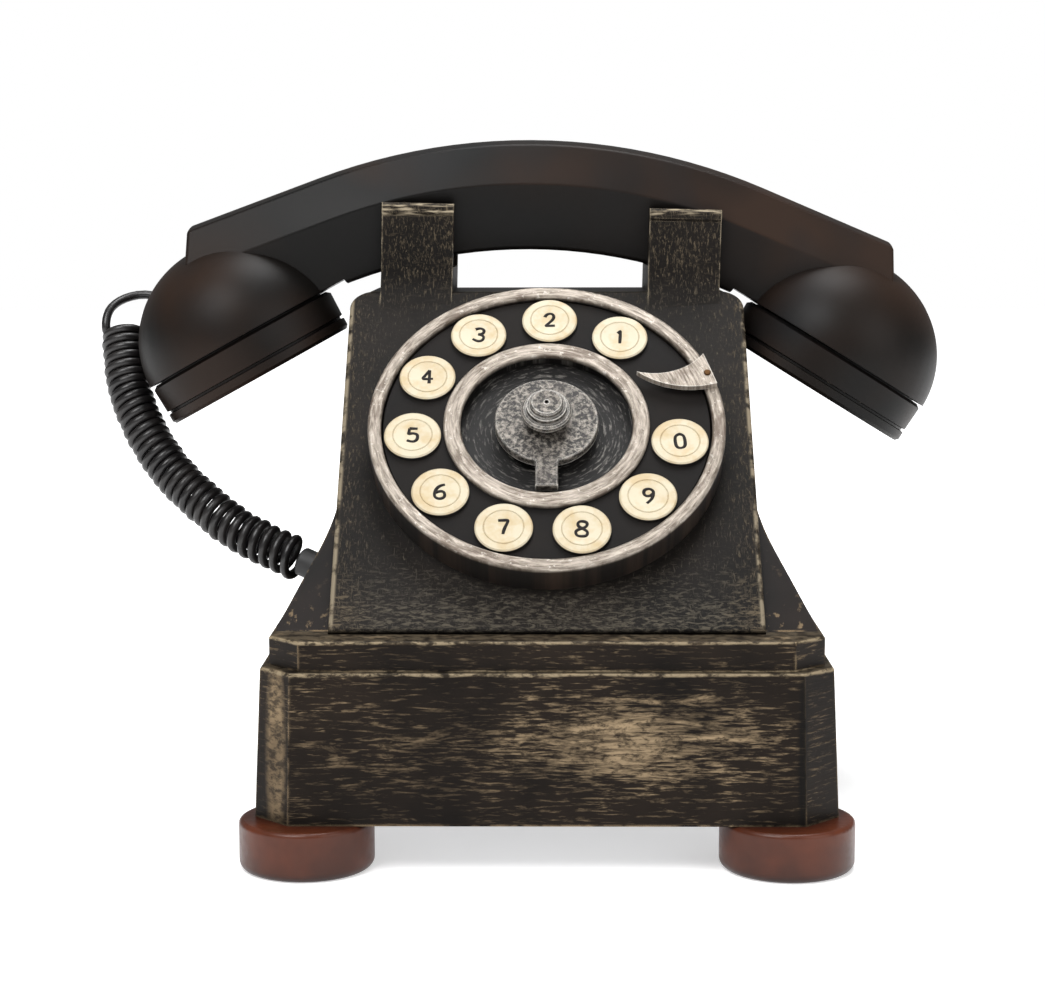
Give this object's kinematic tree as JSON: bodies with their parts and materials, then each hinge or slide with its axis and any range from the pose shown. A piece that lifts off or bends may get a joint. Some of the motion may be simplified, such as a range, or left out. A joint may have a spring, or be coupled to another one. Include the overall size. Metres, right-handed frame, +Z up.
{
  "type": "rotary desk telephone",
  "caption": "Old-style desk telephone with a leaning rotary dial panel, an arched handset in a pronged cradle, a stepped plinth on round feet and a curly handset cord.",
  "frame": {"origin": "on the floor under the middle of the whole telephone without its cord", "axes": "+X to the right as the user sees the dial, +Y to the back, +Z up"},
  "size_m": [0.2371, 0.1606, 0.1792],
  "materials": {
    "case_paint": "worn satin paint",
    "panel_paint": "worn matt paint",
    "handset_black": "matt",
    "silver_paint": "brushed-on silver paint",
    "dial_dark": "matt",
    "cream": "satin",
    "pewter": "worn satin",
    "foot_brown": "satin",
    "steel": "satin",
    "brass": "satin",
    "bakelite": "satin",
    "copper": "enamelled wire",
    "black_rubber": "satin",
    "cord_black": "gloss"
  },
  "bodies": {
    "case": {"lower_plinth": "case_paint", "upper_plinth": "case_paint", "base_plate": "steel", "feet": "foot_brown", "foot_screws": "steel", "case_shell": "case_paint", "case_screws": "steel", "front_panel": "panel_paint", "left_saddle": "panel_paint", "right_saddle": "panel_paint", "dial_bezel": "silver_paint", "finger_stop": "silver_paint", "stop_rivet": "brass", "shaft_bushes": "brass", "mechanism_plate": "brass", "mechanism_pillars": "brass", "mechanism_screws": "steel", "return_spring": "steel", "governor_cup": "brass", "pulse_contacts": "bakelite", "switch_frame": "steel", "hook_contacts": "bakelite", "ringer_plate": "steel", "left_gong": "brass", "right_gong": "brass", "gong_posts": "steel", "gong_screws": "steel", "clapper_pin": "steel", "ringer_yoke": "steel", "ringer_coils": "copper", "induction_coil": "copper", "capacitor": "steel", "terminal_strip": "bakelite", "terminal_screws": "brass", "line_bushing": "black_rubber", "cord_gland": "black_rubber", "curly_cord": "cord_black", "cord_tail": "cord_black"},
    "dial": {"finger_wheel": "dial_dark", "number_discs": "cream", "dial_inner_ring": "silver_paint", "dial_dish": "dial_dark", "centre_plate": "pewter", "centre_knob": "pewter", "dial_shaft": "steel", "main_gear": "brass"},
    "governor": {"governor_shaft": "steel", "governor_pinion": "brass", "governor_rotor": "brass"},
    "handset": {"handset_body": "handset_black", "earpiece_cap": "handset_black", "mouthpiece_cap": "handset_black", "receiver_capsule": "steel", "transmitter_capsule": "steel", "handset_gland": "black_rubber"},
    "hook_switch": {"hook_plungers": "steel", "plunger_bar": "steel"},
    "clapper": {"clapper": "steel"}
  },
  "joints": [
    {"name": "handset_lift", "type": "slide", "parent": "case", "child": "handset", "axis": [0, 0, 1], "range_m": [0, 0.075], "deforming": ["curly_cord", "cord_tail"]},
    {"name": "hook_travel", "type": "slide", "parent": "case", "child": "hook_switch", "axis": [0, 0, 1], "range_m": [0, 0.005]},
    {"name": "dial_turn", "type": "hinge", "parent": "case", "child": "dial", "pos_m": [0.00266, -0.0212, 0.10005], "axis": [0, 0.7254, -0.6884], "range_deg": [0, 305], "stiffness_Nm_per_rad": 0.006, "springref_deg": -85.94},
    {"name": "governor_spin", "type": "hinge", "parent": "case", "child": "governor", "pos_m": [-0.01507, -0.02564, 0.09537], "axis": [0, 0.7254, -0.6884], "range_deg": [-1221, 0]},
    {"name": "clapper_swing", "type": "hinge", "parent": "case", "child": "clapper", "pos_m": [0.00266, 0.018, 0.03], "axis": [0, 0, 1], "range_deg": [-4.3, 4.3], "stiffness_Nm_per_rad": 0.002}
  ],
  "couplings": [
    {"joint": "governor_spin", "follows": "dial_turn", "ratio": -4},
    {"joint": "hook_travel", "follows": "handset_lift", "ratio": 0.0666}
  ]
}
